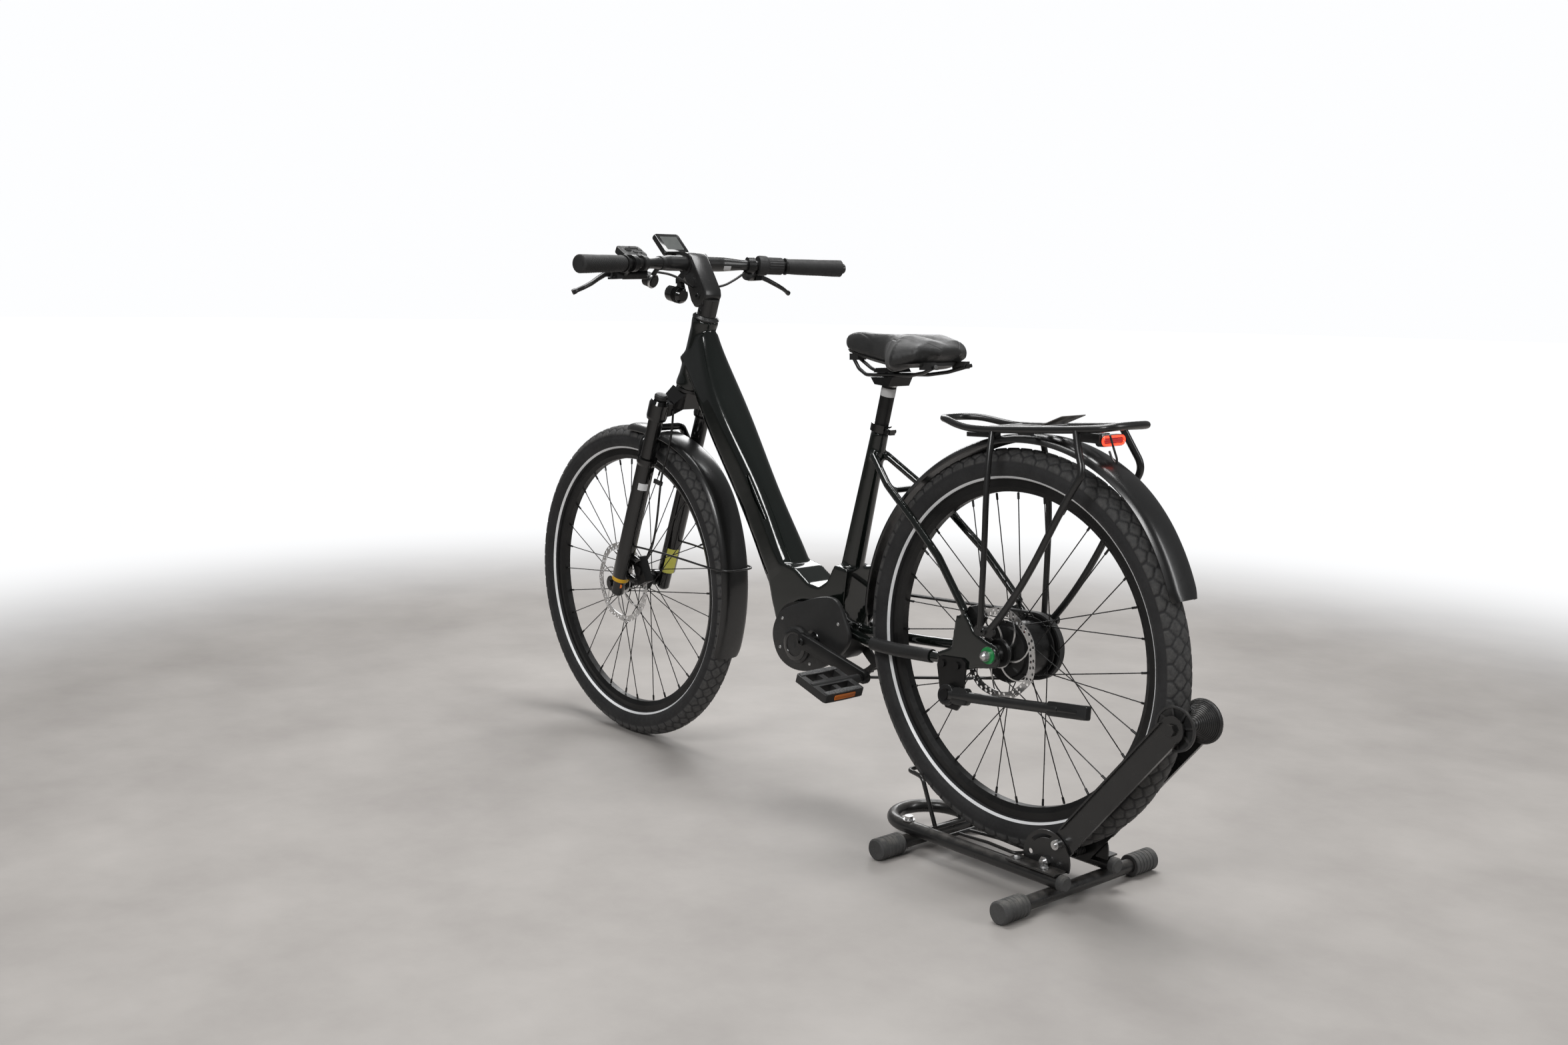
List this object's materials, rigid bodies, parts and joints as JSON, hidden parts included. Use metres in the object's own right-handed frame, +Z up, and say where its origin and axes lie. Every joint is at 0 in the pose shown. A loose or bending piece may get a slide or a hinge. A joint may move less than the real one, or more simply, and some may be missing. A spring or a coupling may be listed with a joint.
{
  "type": "bicycle on stand",
  "caption": "Electric trekking bicycle with belt drive, rack and mudguards, held upright by its rear wheel in a folding-arm floor stand.",
  "frame": {"origin": "centre of the bounding box's underside, on the floor", "axes": "+X towards the front wheel, +Y to the rider's left, +Z up"},
  "size_m": [1.8688, 0.7004, 1.1163],
  "materials": {
    "frame_paint": "gloss",
    "satin_black": "satin",
    "black_alloy": "satin anodised",
    "silver_alloy": "satin",
    "steel": "brushed",
    "stand_paint": "gloss, scuffed",
    "cap_rubber": "dusty matt",
    "grip_rubber": "matt",
    "tyre_rubber": "matt",
    "mudguard_plastic": "satin",
    "black_plastic": "matt",
    "gloss_plastic": "gloss",
    "roller_plastic": "satin",
    "saddle_cover": "satin",
    "red_lens": "gloss",
    "belt": "matt"
  },
  "bodies": {
    "stand": {"stand_tubes": "stand_paint", "stand_end_caps": "cap_rubber", "stand_brackets": "stand_paint", "stand_wheel_guide": "stand_paint", "stand_fasteners": "steel", "stand_spring": "steel"},
    "swing_arm": {"stand_arm": "stand_paint"},
    "roller": {"stand_roller": "roller_plastic"},
    "bicycle": {"main_frame": "frame_paint", "rear_triangle": "frame_paint", "battery": "gloss_plastic", "motor_unit": "black_alloy", "frame_covers": "black_plastic", "headset_cups": "satin_black", "seat_clamp": "black_alloy", "drive_belt": "belt", "rear_mudguard": "mudguard_plastic", "rack": "satin_black", "tail_light": "red_lens", "rear_caliper": "black_alloy", "rear_axle": "silver_alloy", "kickstand_bracket": "black_alloy", "rear_hoses": "black_plastic"},
    "kickstand": {"kickstand_leg": "satin_black"},
    "seat": {"seatpost": "black_alloy", "saddle_rails": "steel", "saddle_shell": "black_plastic", "saddle_pad": "saddle_cover"},
    "rear_wheel": {"rear_rim": "black_alloy", "rear_tyre": "tyre_rubber", "rear_hub": "black_alloy", "rear_spokes": "steel", "rear_rotor": "steel"},
    "rear_drive": {"rear_sprocket": "black_alloy"},
    "crank": {"crankset": "black_alloy"},
    "pedal_left": {"left_pedal": "black_plastic"},
    "pedal_right": {"right_pedal": "black_plastic"},
    "steering": {"fork_upper": "satin_black", "stem": "satin_black", "handlebar": "satin_black", "grips": "grip_rubber", "brake_bodies": "black_alloy", "bar_controls": "black_plastic", "steering_hoses": "black_plastic"},
    "computer": {"display": "gloss_plastic"},
    "lamp": {"headlight": "gloss_plastic"},
    "brake_left": {"left_lever": "black_alloy"},
    "brake_right": {"right_lever": "black_alloy"},
    "shifter": {"twist_shifter": "grip_rubber"},
    "bell_thumb": {"bell_lever": "black_plastic"},
    "button": {"remote_button": "gloss_plastic"},
    "knob": {"lockout_knob": "black_plastic"},
    "lowers": {"fork_lower": "satin_black", "front_mudguard": "mudguard_plastic", "front_caliper": "black_alloy"},
    "front_wheel": {"front_rim": "black_alloy", "front_tyre": "tyre_rubber", "front_hub": "black_alloy", "front_spokes": "steel", "front_rotor": "steel"}
  },
  "joints": [
    {"name": "arm_swing", "type": "hinge", "parent": "stand", "child": "swing_arm", "pos_m": [-0.6654, 0, 0.066], "axis": [0, -1, 0], "range_deg": [0, 40], "stiffness_Nm_per_rad": 5, "springref_deg": -97.4},
    {"name": "roller_spin", "type": "hinge", "parent": "swing_arm", "child": "roller", "pos_m": [-0.8974, 0, 0.346], "axis": [0, 1, 0], "continuous": true},
    {"name": "lift_out", "type": "slide", "parent": "stand", "child": "bicycle", "axis": [0, 0, 1], "range_m": [0, 0.25]},
    {"name": "kickstand_fold", "type": "hinge", "parent": "bicycle", "child": "kickstand", "pos_m": [-0.46227, 0.08, 0.31622], "axis": [-0.0096, -0.9781, -0.2077], "range_deg": [0, 106]},
    {"name": "seat_height", "type": "slide", "parent": "bicycle", "child": "seat", "axis": [-0.2406, 0, 0.9706], "range_m": [-0.04, 0.08]},
    {"name": "rear_wheel_spin", "type": "hinge", "parent": "bicycle", "child": "rear_wheel", "pos_m": [-0.5424, 0, 0.402], "axis": [0, 1, 0], "continuous": true},
    {"name": "crank_spin", "type": "hinge", "parent": "bicycle", "child": "crank", "pos_m": [-0.0846, 0, 0.34383], "axis": [0, 1, 0], "continuous": true},
    {"name": "rear_sprocket_spin", "type": "hinge", "parent": "bicycle", "child": "rear_drive", "pos_m": [-0.5424, 0, 0.402], "axis": [0, 1, 0], "continuous": true},
    {"name": "left_pedal_spin", "type": "hinge", "parent": "crank", "child": "pedal_left", "pos_m": [-0.25261, 0, 0.30702], "axis": [0, 1, 0], "continuous": true},
    {"name": "right_pedal_spin", "type": "hinge", "parent": "crank", "child": "pedal_right", "pos_m": [0.08342, 0, 0.38064], "axis": [0, 1, 0], "continuous": true},
    {"name": "steer", "type": "hinge", "parent": "bicycle", "child": "steering", "pos_m": [0.36573, 0, 0.87023], "axis": [-0.3331, 0, 0.9429], "range_deg": [-45, 45]},
    {"name": "fork_travel", "type": "slide", "parent": "steering", "child": "lowers", "axis": [-0.3331, 0, 0.9429], "range_m": [0, 0.045], "stiffness_N_per_m": 8000, "springref_m": -0.03},
    {"name": "front_wheel_spin", "type": "hinge", "parent": "lowers", "child": "front_wheel", "pos_m": [0.5844, 0, 0.35], "axis": [0, 1, 0], "continuous": true},
    {"name": "left_brake_pull", "type": "hinge", "parent": "steering", "child": "brake_left", "pos_m": [0.41369, 0.186, 1.0326], "axis": [0.0461, 0, 0.9989], "range_deg": [0, 18], "stiffness_Nm_per_rad": 0.6, "springref_deg": -17.19},
    {"name": "right_brake_pull", "type": "hinge", "parent": "steering", "child": "brake_right", "pos_m": [0.41369, -0.186, 1.0326], "axis": [-0.0461, 0, -0.9989], "range_deg": [0, 18], "stiffness_Nm_per_rad": 0.6, "springref_deg": -17.19},
    {"name": "gear_twist", "type": "hinge", "parent": "steering", "child": "shifter", "pos_m": [0.34621, -0.18, 1.05413], "axis": [-0.2994, -0.954, -0.0174], "range_deg": [-60, 60]},
    {"name": "bell_thumb_flick", "type": "hinge", "parent": "steering", "child": "bell_thumb", "pos_m": [0.41343, 0.115, 1.0271], "axis": [0, 1, 0], "range_deg": [0, 25], "stiffness_Nm_per_rad": 0.05, "springref_deg": -22.92},
    {"name": "remote_button_press", "type": "slide", "parent": "steering", "child": "button", "axis": [0.4595, 0, -0.8882], "range_m": [0, 0.001], "stiffness_N_per_m": 400, "springref_m": -0.002},
    {"name": "display_tilt", "type": "hinge", "parent": "steering", "child": "computer", "pos_m": [0.42724, 0, 1.06601], "axis": [0, 1, 0], "range_deg": [-15, 15]},
    {"name": "headlight_tilt", "type": "hinge", "parent": "steering", "child": "lamp", "pos_m": [0.42607, 0, 1.01901], "axis": [0, 1, 0], "range_deg": [-6, 8]},
    {"name": "lockout_turn", "type": "hinge", "parent": "steering", "child": "knob", "pos_m": [0.4098, 0.063, 0.7755], "axis": [-0.3331, 0, 0.9429], "range_deg": [0, 90]}
  ],
  "couplings": [
    {"joint": "rear_sprocket_spin", "follows": "crank_spin", "ratio": 1.5625}
  ]
}
